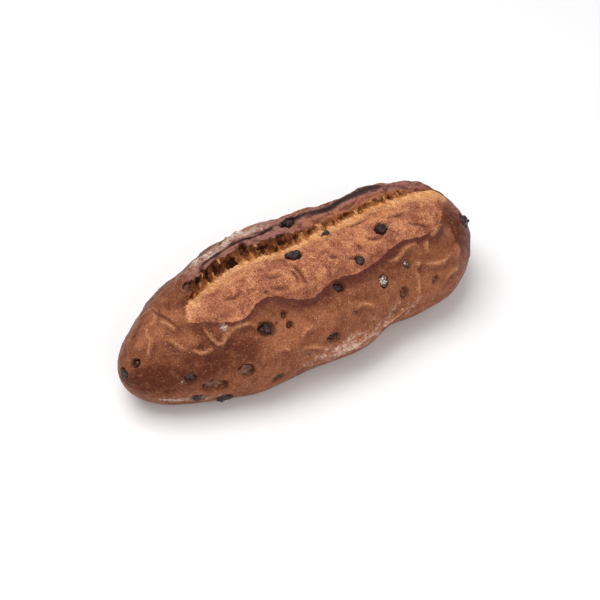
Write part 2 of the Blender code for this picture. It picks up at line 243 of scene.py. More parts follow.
# Olive pieces by number: how thick a film of crust veils them, floury ones, ones with the hollow of the
# pit, and ones that lie deeper in the crust than the solids, with by how many millimetres
VEILED_OLIVES = {
    7: 0.7, 8: 0.9, 10: 0.8, 11: 0.9, 13: 0.8, 15: 0.3, 16: 0.45, 18: 0.8, 23: 0.8, 25: 0.5,
    29: 0.8, 34: 0.6, 37: 0.8,
}  # fmt: skip
FLOURY_OLIVES = (5, 6)
CUPPED_OLIVES = (9, 30)
CUP_DEPTH = 1.2 * MM
SUNK_OLIVES = {
    4: 0.8, 7: 0.9, 8: 0.8, 10: 1.1, 11: 0.7, 12: 1.0, 13: 0.9, 14: 0.6, 15: 1.1, 16: 0.8,
    18: 1.6, 23: 0.8, 24: 2.0, 25: 0.6,
}  # fmt: skip
OLIVE_SLIP = 0.9 * MM  # how far down the side the veiled ones have slipped in their pockets
OLIVE_GROWTH = 1.10  # makes up for what rounding takes off
OTHER_GROWTH = {9: 0.84, 10: 0.85, 13: 1.25, 15: 1.15, 16: 0.9, 18: 1.20, 20: 1.25, 21: 1.2}
OLIVE_WRINKLES = ((2.0 * MM, 5.0 * MM), (0.6 * MM, 2.0 * MM), (0.15 * MM, 0.8 * MM))  # height and length
OLIVE_FACETS, OLIVE_ROUNDING = 2, 1  # how often each face is split, before and while it is rounded

# The pocket round each olive piece, measured in outlines of the piece
POCKET_WALL = (1.12, 0.95)  # from its rim down to its floor
WIDE_POCKET_WALL = (1.36, 1.08)
VEILED_POCKET_WALL = (1.03, 0.85)
WIDE_POCKETS = (18, 24)
POCKET_FLOOR = 0.8 * MM  # below the middle of the piece
POCKET_RIM = 0.25 * MM
POCKET_SEARCH = 11 * MM
HALO = (1.35, 1.0)  # how far round each piece the crust is darker

# Flour on the crust: x in millimetres, degrees around, reach along and around, strength
FLOUR_PATCHES = (
    (-58, 60, 22, 12, 0.75), (-24, 60, 18, 12, 0.75), (38, 182, 32, 12, 0.34), (-4, 184, 22, 12, 0.42),
    (20, -8, 60, 8, 0.45), (10, 188, 70, 12, 0.2), (-104, 203, 26, 6, 0.75), (2, 126, 3, 3, 0.9),
    (-72, 132, 3, 3.5, 1.1), (-104, 171, 5, 3, 0.7), (0, 270, 150, 40, 0.6),
)  # fmt: skip

# Where the surface is darker (negative) or paler, in the same way
TONE_PATCHES = (
    # the left end and its cap
    (-124, 165, 16, 22, -1.2), (-117, 96, 5, 10, 0.6), (-105, 90, 8, 14, 1.4), (-95, 97, 5, 8, 1.1),
    (-94, 131, 5, 6, 0.5), (-91, 162, 14, 10, -0.8), (-87, 82, 8, 16, -0.2), (-84, 126, 5, 6, -0.7),
    (-84, 147, 12, 9, -1.1),
    # along the edge of the torn crust
    (-72, 128, 8, 7, 0.1), (-66, 123, 7, 4, -0.9), (-46, 122, 8, 6, -0.4), (-15, 134, 14, 8, -1.1),
    (15, 129, 14, 8, -1.0), (46, 131, 14, 7, -0.9), (85, 127, 10, 7, -0.5),
    # the front
    (-63, 155, 9, 8, -0.5), (-36, 157, 15, 10, 0.9), (-7, 153, 12, 7, 0.3), (5, 183, 20, 8, 0.7),
    (32, 161, 16, 10, 0.2), (69, 171, 14, 10, 0.5), (92, 156, 8, 8, 0.3),
    # the right end
    (102, 136, 5, 7, 0.9), (104, 153, 5, 6, 0.8), (109, 116, 5, 9, -0.9), (110, 140, 9, 15, -1.2),
    (120, 150, 9, 25, -0.7),
    # the burst
    (-70, 114, 14, 7, -0.8), (-14, 112, 9, 8, -0.1), (20, 97, 12, 7, 0.7), (66, 93, 10, 6, 0.8),
    (70, 85, 20, 5, 0.4), (84, 108, 14, 9, -0.5),
    # the back
    (-105, 20, 12, 18, -0.8), (-60, 30, 22, 14, -0.8), (-20, 40, 16, 10, 0.4), (10, 20, 25, 12, 0.5),
    (55, 35, 18, 12, -0.7), (90, 25, 14, 14, -0.6),
)  # fmt: skip

# Colours, as linear red, green and blue
CRUST_DARK = (0.1, 0.027, 0.015)
CRUST_LIGHT = (0.34, 0.122, 0.059)
CRUST_RUSSET = (0.2, 0.052, 0.023)
CRUST_OCHRE = (0.37, 0.153, 0.064)
CRUST_PURPLE = (0.1, 0.028, 0.022)
# paler crust on the folds, partly painted highlight on their crests
FOLD_PALE_AND_HIGHLIGHT = (0.43, 0.175, 0.082)
# pale blisters, partly painted glints
BLISTER_AND_GLINT = (0.62, 0.42, 0.3)
SPECKLE_AND_GLINT = (1.0, 1.5, 1.9)  # how much specks change red, green and blue; the pale grey specks are painted glints
# paler crust on the ridges, partly painted highlight on their crests
RIDGE_PALE_AND_HIGHLIGHT = (0.58, 0.26, 0.14)
# painted shade in the creases and slits
CREASE_SHADE_COLOUR = (0.1, 0.032, 0.02)
BURST_PINK = (0.335, 0.112, 0.061)
BURST_TAN = (0.53, 0.212, 0.099)
BURST_DARK = (0.2, 0.058, 0.034)
BURST_PALE = (0.6, 0.34, 0.22)
GOLD = (0.62, 0.26, 0.09)
GOLD_PALE = (0.78, 0.42, 0.2)
WALL_AMBER = (0.36, 0.138, 0.048)
WALL_BROWN = (0.14, 0.043, 0.016)
WALL_DARK = (0.06, 0.019, 0.009)
# painted shade in the holes and pits of the torn wall
HOLE_SHADE_COLOUR = (0.05, 0.017, 0.007)
EAR_PURPLE = (0.3, 0.135, 0.108)
EAR_BROWN = (0.35, 0.13, 0.074)
# dark cracks in the ear's skin, with painted shade in its crumpled hollows
EAR_CRACK_AND_SHADE = (0.055, 0.018, 0.013)
CHAR = (0.052, 0.031, 0.028)
HALO_COLOUR = (0.12, 0.055, 0.028)
FLOUR = (0.74, 0.6, 0.5)
SHEEN_TINT = (1.0, 0.72, 0.55)
OLIVE_BLACK = (0.011, 0.007, 0.008)
# purple-brown, which on the black pieces also serves as painted glints
OLIVE_PURPLE = (0.06, 0.022, 0.02)
OLIVE_BROWN = (0.105, 0.034, 0.018)
OLIVE_TAN = (0.26, 0.098, 0.048)
FLOOR_COLOUR = (0.96, 0.96, 0.96)

MIX_FIRST, MIX_SECOND, MIX_OUTCOME = 6, 7, 2  # a mix node's sockets for colours

# The camera looks down on the front and left end, as in the photograph
CAMERA_ANGLES = (-31.8, 45.0)  # degrees: round from the front, and up
CAMERA_DISTANCE = 1.1
CAMERA_TARGET = (0.0015, 0, 0.0228)
CAMERA_LENS = 98.3

FLOOR_SIZE = 6.0
WORLD_STRENGTH = 0.42
LIGHTS = (  # name, place, size and power
    ("softbox_above", (-0.25, 0.3, 1.25), 1.1, 13.5),
    ("softbox_front", (0.0, -1.2, 0.6), 1.0, 7),
)


def ease(x, start, end):
    """0 before start and 1 after end, with a smooth rise between them."""
    t = np.clip((x - start) / (end - start), 0, 1)
    return t * t * (3 - 2 * t)


def mound(x, centre, reach):
    """1 at the centre, falling smoothly to nearly nothing at twice the reach."""
    return np.exp(-(((x - centre) / reach) ** 2))


def hermite(start, end, leaving, arriving, t):
    """Point at t on the smooth curve from start to end with the given slopes there."""
    return (
        start * (1 + 2 * t) * (1 - t) ** 2
        + end * t * t * (3 - 2 * t)
        + leaving * t * (1 - t) ** 2
        - arriving * t * t * (1 - t)
    )


def follow(line, x):
    """Value at x of a smooth line through (x, value) points given in millimetres."""
    at, value = np.array(line).T * MM
    slope = np.gradient(value, at)
    i = np.clip(np.searchsorted(at, x) - 1, 0, len(at) - 2)
    run = at[i + 1] - at[i]
    t = np.clip((x - at[i]) / run, 0, 1)
    return hermite(value[i], value[i + 1], run * slope[i], run * slope[i + 1], t)


def swell(x, powers):
    """How full the loaf is at x: about 1 in the middle and 0 at the tips, blunter with a higher power."""
    power = np.where(x < 0, powers[0], powers[1])
    narrowing, at, reach = WAIST
    fullness = np.sqrt(np.clip(1 - np.abs(2 * x / LENGTH) ** power, 0, 1))
    return fullness * (1 - narrowing * mound(x, at, reach))


def unevenness(x, around):
    """How far the hand-shaped surface stands out from the even one."""
    degrees = np.degrees(around)
    height = sum(
        size * np.cos(math.tau * x / length + phase) * np.cos(turns * around + 2 * phase)
        for length, turns, size, phase in WAVES
    )
    for at, turned, half_length, half_turn, size in (*LUMPS, *SMALL_LUMPS):
        height = height + size * MM * mound(x, at * MM, half_length * MM) * mound(degrees, turned, half_turn)
    step = STEP_X + STEP_WANDER * np.sin(degrees / 9)
    cap = (1 - ease(x, step - 1.2 * MM, step + 0.8 * MM)) * ease(x, step - CAP_LENGTH, step - MM)
    return height + STEP_HEIGHT * cap * mound(degrees, STEP_CENTRE, STEP_HALF_TURN) ** 2


def flattened(z):
    """Heights with what would be under the floor spread flat on it, and a fillet along the edge."""
    rising = np.clip(z + BASE_FILLET, 0, 2 * BASE_FILLET)
    return np.where(z > BASE_FILLET, z, rising**2 / (4 * BASE_FILLET))


def body(x, around):
    """Y and Z of the loaf with no slash, for an x and angles around in radians."""
    fullness = swell(x, TAPER)
    side, up = np.cos(around), np.sin(around)
    rounding = 2 / SECTION_POWER
    crown = (HEIGHT - BELLY_HEIGHT) * swell(x, CROWN)
    under = (BELLY_HEIGHT + SINK) * swell(x, UNDERSIDE)
    uneven = unevenness(x, around) * fullness
    y = WIDTH / 2 * fullness * np.sign(side) * np.abs(side) ** rounding + uneven * side
    z = np.where(up > 0, crown, under) * np.sign(up) * np.abs(up) ** rounding + uneven * up
    axis_y = SWAY * (2 * x / LENGTH) ** 3
    axis_z = TIP_HEIGHT + (BELLY_HEIGHT - TIP_HEIGHT) * fullness
    return axis_y + y, flattened(axis_z + z)


def wander(x, size, phase):
    """An uneven offset of about this size along the loaf, as in anything torn."""
    return size * (0.6 * np.sin(x / (9 * MM) + phase) + 0.4 * np.sin(x / (4.3 * MM) + 3 * phase))


def blend_along(x, pair):
    """The first value left of the loaf's middle and the second right of it, with a smooth change."""
    return pair[0] + (pair[1] - pair[0]) * ease(x, -20 * MM, 30 * MM)


def slash_opening(x):
    """0 where the loaf is whole, 1 where its slash is fully open."""
    opening = ease(x, SLASH_START, SLASH_START + SLASH_FADE)
    return opening * (1 - ease(x, SLASH_END - SLASH_FADE, SLASH_END))


def edge_strength(x):
    """1 where the torn crust ends in a sharp edge, falling to 0 where it fades into the burst."""
    return slash_opening(x) * (1 - ease(x, *EDGE_END))


def slash_lines(x):
    """Distances across to the ear's edge, to the deepest part of the tear, and to the crust's edge."""
    line = follow(TEAR_LINE, x) + slash_opening(x) * wander(x, MM, 5.0)
    return follow(EAR_EDGE, x), line, follow(CRUST_EDGE, x)


def slash_knots(x):
    """The slash in section at x: (points from here to the next knot, distance across, height)."""
    opened = slash_opening(x)
    edge, line, crust = slash_lines(x)
    lift = opened * (follow(EAR_LIFT, x) + wander(x, 0.8 * MM, 1.0))
    tear = opened * (blend_along(x, TEAR_DEPTH) + wander(x, 0.9 * MM, 2.0))
    burst = crust - line
    bulge, step = opened * BURST_BULGE, edge_strength(x) * EDGE_STEP
    return (
        (12, edge - EAR_RUN, 0),
        (9, edge - 12 * MM, 0.22 * lift),
        (4, edge - 4 * MM, 0.75 * lift),
        (5, edge - MM, lift),
        (4, edge + 1.6 * MM, lift - 0.9 * MM * opened),
        (5, edge + 2.6 * MM, lift - 3.0 * MM * opened),
        (8, edge + 0.36 * (line - edge), 0.35 * lift - 0.9 * MM * opened),
        (4, line - 3.4 * MM, -0.4 * tear),
        (3, line - 1.8 * MM, -0.85 * tear),
        (3, line - 0.2 * MM, -tear),
        (3, line + 1.5 * MM, -0.88 * tear),
        (9, line + 2.5 * MM + 0.04 * burst, -0.62 * tear),
        (12, line + 0.25 * burst, 0.2 * bulge - 0.22 * tear),
        (14, line + 0.55 * burst, bulge),
        (8, line + 0.85 * burst, 0.35 * bulge),
        (5, crust - 1.4 * MM, -0.6 * step),
        (5, crust + 0.6 * MM, step),
        (9, crust + 4 * MM, 0.6 * step),
        (1, crust + EDGE_RUN, 0),
    )


def smooth_through(knots):
    """Points on a smooth curve through the knots, as many after each as it asks for."""
    at = np.array([(across, height) for _, across, height in knots])
    gap = np.linalg.norm(np.diff(at, axis=0), axis=1)[:, None]
    slope = np.diff(at, axis=0) / gap
    before, after = np.concatenate([slope[:1], slope]), np.concatenate([slope, slope[-1:]])
    gap_before, gap_after = np.concatenate([gap[:1], gap]), np.concatenate([gap, gap[-1:]])
    tangent = (before * gap_after + after * gap_before) / (gap_before + gap_after)
    curve = [
        hermite(at[i], at[i + 1], gap[i] * tangent[i], gap[i] * tangent[i + 1], step / count)
        for i, (count, _, _) in enumerate(knots[:-1])
        for step in range(count)
    ]
    return np.array([*curve, at[-1]])


def ring_places(count):
    """X of each ring, spread evenly over the outline seen from above, without the two tips."""
    turn = np.linspace(-math.pi / 2, math.pi / 2, OUTLINE_SAMPLES)
    x = LENGTH / 2 * np.sin(turn)
    steps = np.hypot(np.diff(x), np.diff(WIDTH / 2 * swell(x, TAPER)))
    travelled = np.concatenate([[0], np.cumsum(steps)])
    return np.interp(np.linspace(0, travelled[-1], count + 2)[1:-1], travelled, x)


def section_at(x):
    """Angles round the loaf at x, the section's points there, and the way travelled round it."""
    around = np.linspace(-math.pi / 2, 1.5 * math.pi, SECTION_SAMPLES)
    points = np.stack(body(x, around), axis=1)
    steps = np.linalg.norm(np.diff(points, axis=0), axis=1)
    return around, points, np.concatenate([[0], np.cumsum(steps)])


@dataclass
class Skin:
    """The loaf's fine surface as flat lists of points, ring after ring."""

    point: np.ndarray
    across: np.ndarray  # distance across the slash, at the loaf's full girth
    columns: int  # points in each ring
    knot_columns: np.ndarray  # which of them lie on the slash's knots

    def normal(self):
        """The way out of the surface at each point."""
        grid = self.point.reshape(-1, self.columns, 3)
        along = np.gradient(grid, axis=0)
        round_ring = np.roll(grid, -1, axis=1) - np.roll(grid, 1, axis=1)
        normal = np.cross(round_ring, along).reshape(-1, 3)
        return normal / np.linalg.norm(normal, axis=1)[:, None]

    def beyond(self, knot):
        """How far each point is past a knot of the slash, over the surface."""
        steps = np.linalg.norm(np.diff(self.point.reshape(-1, self.columns, 3), axis=1), axis=2)
        travelled = np.pad(np.cumsum(steps, axis=1), ((0, 0), (1, 0)))
        return (travelled - travelled[:, [self.knot_columns[knot]]]).ravel()


def even_steps(*stops):
    """Values from stop to stop, without the last one, for alternating stops and counts."""
    runs = [np.linspace(a, b, n, endpoint=False) for a, n, b in zip(stops[:-2:2], stops[1::2], stops[2::2])]
    return np.concatenate(runs)


def make_skin():
    """The loaf with its slash, before its fine relief."""
    places = ring_places(RINGS)
    sections = [section_at(x) for x in places]
    girth = max(travelled[-1] for _, _, travelled in sections)
    rings, distances = [], []
    for x, (around, points, travelled) in zip(places, sections):
        shrink = travelled[-1] / girth
        knots = smooth_through(slash_knots(x)) * [shrink, 1]
        origin, *floor_edge = np.interp(np.radians([SLASH_ANGLE, *FLOOR_ANGLES]), around, travelled)
        slash = origin + knots[:, 0]
        behind = even_steps(0, UNDER_POINTS, floor_edge[0], BACK_POINTS, slash[0])
        ahead = even_steps(slash[-1], FRONT_POINTS, floor_edge[1], UNDER_POINTS, travelled[-1])
        along = np.concatenate([behind, slash[:-1], ahead])
        out = np.concatenate([0 * behind, knots[:-1, 1], 0 * ahead])
        tangent = np.gradient(points, travelled, axis=0)
        tangent /= np.linalg.norm(tangent, axis=1)[:, None]
        y, z = (np.interp(along, travelled, values) for values in points.T)
        tangent_y, tangent_z = (np.interp(along, travelled, values) for values in tangent.T)
        rings.append(np.stack([np.full_like(y, x), y + out * tangent_z, z - out * tangent_y], axis=1))
        distances.append((along - origin) / shrink)
    counts = [count for count, _, _ in slash_knots(0.0)]
    knot_columns = len(behind) + np.cumsum([0, *counts[:-1]])
    return Skin(np.concatenate(rings), np.concatenate(distances), len(rings[0]), knot_columns)


def mesh_of(name, skin):
    """A closed mesh of the skin, with a fan at each tip."""
    count = len(skin.point)
    index = np.arange(count).reshape(-1, skin.columns)
    after = np.roll(index, -1, axis=1)
    quads = np.stack([index[:-1], after[:-1], after[1:], index[1:]], axis=-1).reshape(-1, 4)
    left = [(count, a, b) for a, b in zip(after[0].tolist(), index[0].tolist())]
    right = [(count + 1, b, a) for a, b in zip(after[-1].tolist(), index[-1].tolist())]
    tips = [(side * LENGTH / 2, side * SWAY, TIP_HEIGHT) for side in (-1, 1)]
    mesh = bpy.data.meshes.new(name)
    mesh.from_pydata([*skin.point.tolist(), *tips], [], [*quads.tolist(), *left, *right])
    mesh.shade_smooth()
    return mesh


def add_object(name, data):
    made = bpy.data.objects.new(name, data)
    bpy.context.scene.collection.objects.link(made)
    return made


def store(mesh, name, values):
    """Keep a value for each point on the mesh, for its material to read. Points without one get 0."""
    every = np.zeros(len(mesh.vertices), np.float32)
    every[: len(values)] = values
    mesh.attributes.new(name, "FLOAT", "POINT").data.foreach_set("value", every)


def rough(points, size, octaves=1, stretch=(1, 1, 1), shift=0.0):
    """Uneven values of about -1 to 1 that change over this length."""
    scaled = points * np.array(stretch) / size + shift
    return np.array([noise.fractal(place, 1.0, 2.0, octaves) for place in scaled])


def resampled(path, step):
    """Points every step or so along a smooth path through (x in millimetres, degrees around) points."""
    at = np.array(path, float)
    slope = np.gradient(at, axis=0)
    result = []
    for i in range(len(at) - 1):
        count = max(2, math.ceil(np.linalg.norm(at[i + 1] - at[i]) / step))
        result += [hermite(at[i], at[i + 1], slope[i], slope[i + 1], k / count) for k in range(count)]
    return [*result, at[-1]]


def on_crust(tree, x, around):
    """The point of the fine surface nearest to a place on the loaf."""
    y, z = body(x, math.radians(around))
    return tree.find_nearest(Vector((x, y, z)))[0]


def nearness(points, tree, paths, reach):
    """1 at each point that lies on one of the paths, falling to 0 away from it and at its two ends."""
    marks, weights = [], []
    for path in paths:
        places = resampled(path, PATH_STEP)
        marks += [on_crust(tree, x * MM, around) for x, around in places]
        weights += np.sqrt(np.sin(np.linspace(0.15, math.pi - 0.15, len(places)))).tolist()
    kd = KDTree(len(marks))
    for i, mark in enumerate(marks):
        kd.insert(mark, i)
    kd.balance()
    found = [kd.find(point) for point in points]
    weight = np.array([weights[i] for _, i, _ in found])
    return weight * mound(np.array([distance for _, _, distance in found]), 0, reach)


@dataclass
class Zones:
    """Where each point lies on the slash: distances in metres, and what follows from them."""

    ear: np.ndarray  # down from the ear's edge
    tear: np.ndarray  # from the deepest part of the tear, onto the burst
    crust: np.ndarray  # from the scalloped edge, onto the crust
    burst: np.ndarray  # into the burst from its nearest border
    opened: np.ndarray


def make_zones(skin):
    x = skin.point[:, 0]
    ragged = 0.8 * MM * rough(skin.point, 3.5 * MM, 2)
    tear = skin.beyond(TEAR_KNOT)
    crust = skin.across - slash_lines(x)[2] + ragged
    left = 0.25 * (x + 81 * MM + (skin.across - 21 * MM) * 11 / 19) + ragged  # a slanting border
    right = 0.4 * (121 * MM - x) + ragged
    softness = 1 - 0.75 * ease(x, *EDGE_END)
    burst = np.minimum.reduce([tear + MM, -crust * softness, left, right + ragged])
    return Zones(skin.beyond(EAR_KNOT), tear, crust, burst, slash_opening(x))


def pits(x, tear, ragged):
    """How deep each point lies in the pits above the tear, from 0 to 1."""
    distances = [
        np.hypot((x - at * MM) / (half_length * MM), (tear + above * MM) / (half_height * MM))
        for at, above, half_length, half_height in PITS
    ]
    return 1 - ease(np.min(distances, axis=0) + ragged, 0.45, 1.05)


@dataclass
class Seat:
    """How one olive piece sits in the crust."""

    number: int
    corners: list
    centre: np.ndarray
    outward: np.ndarray
    sunk: float  # how much deeper it lies than its solid
    slipped: np.ndarray  # from where its solid is to where it lies
    inverse_spread: np.ndarray  # 1 over its half lengths squared, as a matrix

    def measure(self, points):
        """How far out each point is, 1 being the piece's outline, and how high above its centre."""
        offset = points - self.centre
        height = offset @ self.outward
        flat = offset - height[:, None] * self.outward
        return np.sqrt(np.einsum("ij,jk,ik->i", flat, self.inverse_spread, flat)), height


def olive_seats(tree):
    """One seat for each olive solid, in the order of their numbers."""
    seats = []
    for name in sorted(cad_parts):
        if name == "loaf":
            continue
        corners = np.unique([tuple(vertex.co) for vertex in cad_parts[name].data.vertices], axis=0)
        centre = corners.mean(axis=0)
        _, normal, _, _ = tree.find_nearest(Vector(centre))
        variance = np.cov((corners - centre).T)
        inverse_spread = np.linalg.inv(variance * 3)  # a half length squared is 3 times the variance
        number = int(name.split("_")[1])
        sunk = SUNK_OLIVES.get(number, 0) * MM
        downhill = normal * normal.z - Vector((0, 0, 1))
        slipped = np.array(downhill * OLIVE_SLIP * (number in VEILED_OLIVES) - normal * sunk)
        seats.append(Seat(number, corners, centre, np.array(normal), sunk, slipped, inverse_spread))
    return seats


def pocket_wall(number):
    """From where to where the wall of this piece's pocket goes down, in outlines of the piece."""
    if number in WIDE_POCKETS:
        return WIDE_POCKET_WALL
    return VEILED_POCKET_WALL if number in VEILED_OLIVES else POCKET_WALL


def sink_pockets(skin, seats):
    """Lower the skin under and round each olive piece. Returns how close each point is to a piece."""
    close = np.zeros(len(skin.point))
    for seat in seats:
        out, height = seat.measure(skin.point)
        near = np.linalg.norm(skin.point - seat.centre, axis=1) < POCKET_SEARCH
        out += 0.18 * rough(skin.point, 2.5 * MM, 2, shift=seat.number)
        wall = pocket_wall(seat.number)
        down = ease(out, *wall) * near * np.maximum(height + POCKET_FLOOR + seat.sunk, 0)
        rim = POCKET_RIM * mound(out, wall[0] + 0.1, 0.15) * near
        skin.point += (rim - down)[:, None] * seat.outward
        close = np.maximum(close, ease(out, *HALO) * near * (1 - 0.8 * VEILED_OLIVES.get(seat.number, 0)))
    return close


def hull_mesh(corners):
    """Points and faces of the hull round these corners."""
    shape = bmesh.new()
    for corner in corners:
        shape.verts.new(corner)
    hull = bmesh.ops.convex_hull(shape, input=shape.verts)
    unused = [item for item in hull["geom_interior"] if isinstance(item, bmesh.types.BMVert)]
    bmesh.ops.delete(shape, geom=unused, context="VERTS")
    shape.verts.index_update()
    points = [tuple(vert.co) for vert in shape.verts]
    faces = [[vert.index for vert in face.verts] for face in shape.faces]
    shape.free()
    return points, faces


def olive_hulls(seats):
    """The hulls of all the olive pieces as one mesh, which keeps the number of each."""
    points, faces, owner = [], [], []
    for seat in seats:
        growth = OTHER_GROWTH.get(seat.number, OLIVE_GROWTH)
        grown = seat.centre + (seat.corners - seat.centre) * growth + seat.slipped
        hull_points, hull_faces = hull_mesh(grown)
        faces += [[i + len(points) for i in face] for face in hull_faces]
        points += hull_points
        owner += [seat.number] * len(hull_points)
    mesh = bpy.data.meshes.new("olive_hulls")
    mesh.from_pydata(points, [], faces)
    store(mesh, "number", owner)
    return mesh


def round_off(made):
    """Give the object a finer mesh with rounded corners."""
    coarse = made.data
    for kind, levels in (("SIMPLE", OLIVE_FACETS), ("CATMULL_CLARK", OLIVE_ROUNDING)):
        splitting = made.modifiers.new(kind.lower(), "SUBSURF")
        splitting.subdivision_type = kind
        splitting.levels = levels
    made.data = bpy.data.meshes.new_from_object(made.evaluated_get(bpy.context.evaluated_depsgraph_get()))
    made.data.name = made.name
    made.modifiers.clear()
    bpy.data.meshes.remove(coarse)


def wrinkle_olives(mesh, seats):
    """Wrinkle the pieces, hollow out those with the pit's hollow, and store what their material reads."""
    place = np.array([vertex.co for vertex in mesh.vertices])
    normal = np.array([vertex.normal for vertex in mesh.vertices])
    number = np.array([value.value for value in mesh.attributes["number"].data]).round()
    raised = sum(height * rough(place, length, 2) for height, length in OLIVE_WRINKLES)
    uphill = np.zeros(len(place))
    for seat in seats:
        uphill += (number == seat.number) * (place - seat.centre)[:, 2]
        if seat.number in CUPPED_OLIVES:
            out, height = seat.measure(place)
            raised -= (number == seat.number) * (height > 0) * CUP_DEPTH * mound(out, 0, 0.55)
    place += normal * raised[:, None]
    mesh.vertices.foreach_set("co", place.ravel().astype(np.float32))
    store(mesh, "veiled", [VEILED_OLIVES.get(int(one), 0) for one in number])
    store(mesh, "floury", np.isin(number, FLOURY_OLIVES) * ease(uphill, -0.3 * MM, 1.4 * MM))


def make_olives(seats):
    """All the olive pieces as one object."""
    olives = add_object("olive_pieces", olive_hulls(seats))
    round_off(olives)
    wrinkle_olives(olives.data, seats)
    olives.data.shade_smooth()
    olives.data.materials.append(olive_material())
    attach(olives, "root")
    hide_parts(*(f"olive_{seat.number:02d}" for seat in seats))


class Shading:
    """Short calls that add nodes to one material and return their outputs.

    A value is a node's output, a number, a colour, or the name of what is stored on the mesh. Lengths are
    in millimetres.
    """

    def __init__(self, name):
        self.material = bpy.data.materials.new(name)
        self.material.use_nodes = True
        self.tree = self.material.node_tree
        self.surface = self.tree.nodes["Principled BSDF"].inputs
        self.place = self.tree.nodes.new("ShaderNodeTexCoord").outputs["Object"]

    def feed(self, socket, value):
        """Give a socket this value."""
        if isinstance(value, str):
            value = self.add("Attribute", {}, "Fac", attribute_name=value)
        if isinstance(value, bpy.types.NodeSocket):
            self.tree.links.new(value, socket)
        else:
            socket.default_value = (*value, 1) if socket.type == "RGBA" else value

    def add(self, kind, inputs, output, **settings):
        """Add a node with these inputs and settings, and return this output of it."""
        node = self.tree.nodes.new("ShaderNode" + kind)
        for name, setting in settings.items():
            setattr(node, name, setting)
        for name, value in inputs.items():
            self.feed(node.inputs[name], value)
        return node.outputs[output]

    def noise(self, size, detail=2.0, roughness=0.5, stretch=(1, 1, 1)):
        """Soft noise from 0 to 1 whose blotches are about this size."""
        place = self.add("Mapping", {"Vector": self.place, "Scale": stretch}, "Vector")
        look = {"Scale": 1 / (size * MM), "Detail": detail, "Roughness": roughness}
        return self.add("TexNoise", {"Vector": place, **look}, "Fac")

    def ramp(self, value, start, end, low=0.0, high=1.0):
        """Low where the value is at start, high where it is at end, and smooth between them."""
        limits = {"From Min": start, "From Max": end, "To Min": low, "To Max": high}
        return self.add("MapRange", {"Value": value, **limits}, "Result", interpolation_type="SMOOTHSTEP")

    def calculate(self, operation, *values):
        """The outcome of a sum such as ADD or MULTIPLY."""
        return self.add("Math", dict(enumerate(values)), "Value", operation=operation)

    def product(self, *values):
        result = values[0]
        for value in values[1:]:
            result = self.calculate("MULTIPLY", result, value)
        return result

    def shifted(self, value, noise_value, amount):
        """The value made ragged by noise, by up to about this much either way."""
        lowered = self.calculate("SUBTRACT", value, 2 * amount)
        return self.calculate("MULTIPLY_ADD", noise_value, 4 * amount, lowered)

    def speckled_with_glints(self, colour, value, amount):
        """The colour with paler, greyer and darker, redder specks of up to about this share, the pale grey
        ones being painted glints.
        """
        swing = self.product(self.ramp(value, 0.3, 0.7, -1, 1), amount)
        inputs = {0: swing, 1: SPECKLE_AND_GLINT, 2: (1, 1, 1)}
        share = self.add("VectorMath", inputs, "Vector", operation="MULTIPLY_ADD")
        return self.add("VectorMath", {0: colour, 1: share}, "Vector", operation="MULTIPLY")

    def mix(self, factor, first, second):
        """The first colour where the factor is 0, the second where it is 1."""
        inputs = {0: factor, MIX_FIRST: first, MIX_SECOND: second}
        return self.add("Mix", inputs, MIX_OUTCOME, data_type="RGBA")

    def tinted(self, colour, *layers):
        """The colour under layers of (value, start, end, share, tint): none at start, the share at end."""
        for value, start, end, share, tint in layers:
            colour = self.mix(self.ramp(value, start, end, 0, share), colour, tint)
        return colour

    def bump(self, *layers):
        """Raise the surface by layers of (value, height)."""
        below = {}
        for value, height in layers:
            inputs = {"Height": value, "Distance": height * MM, **below}
            below = {"Normal": self.add("Bump", inputs, "Normal")}
        self.feed(self.surface["Normal"], below["Normal"])


def baked_crust(s):
    """Colour of the smooth outer crust."""
    broad, middle, fine = s.noise(12, 3, 0.6), s.noise(4, 3, 0.6), s.noise(1.2, 2)
    tone = s.shifted(s.calculate("MULTIPLY_ADD", "dimple", 0.2, "tone"), broad, 0.18)
    colour = s.tinted(
        s.mix(s.ramp(tone, -0.6, 0.6), CRUST_DARK, CRUST_LIGHT),
        (s.noise(9, 4, 0.6), 0.5, 0.62, 0.3, CRUST_RUSSET),
        (middle, 0.50, 0.66, 0.22, CRUST_OCHRE),
        (middle, 0.46, 0.30, 0.3, CRUST_PURPLE),
        (fine, 0.50, 0.64, 0.15, CRUST_DARK),
        # pale blisters and painted glints
        (s.noise(0.9, 1), 0.70, 0.80, 0.5, BLISTER_AND_GLINT),
    )
    band = s.shifted("crust_mm", s.noise(4, 3), 2.5)
    colour = s.mix(s.product(s.ramp(band, 11, 0.5, 0, 0.95), "edge"), colour, CRUST_PURPLE)
    # folds paler: partly paler crust, partly painted highlight
    fold = s.shifted("fold", s.noise(2.2, 3, 0.6), 0.35)
    colour = s.tinted(colour, (fold, 0.15, 1.0, 0.7, FOLD_PALE_AND_HIGHLIGHT))
    # painted shade: the crust darker in the hollow below each fold
    colour = s.mix(s.product("fold_shade", 0.45), colour, CRUST_PURPLE)
    # ridges paler: partly paler crust, partly painted highlight
    ridge = s.shifted("ridge", s.noise(2, 3), 0.6)
    return s.tinted(colour, (ridge, 0.35, 1.15, 0.7, RIDGE_PALE_AND_HIGHLIGHT))


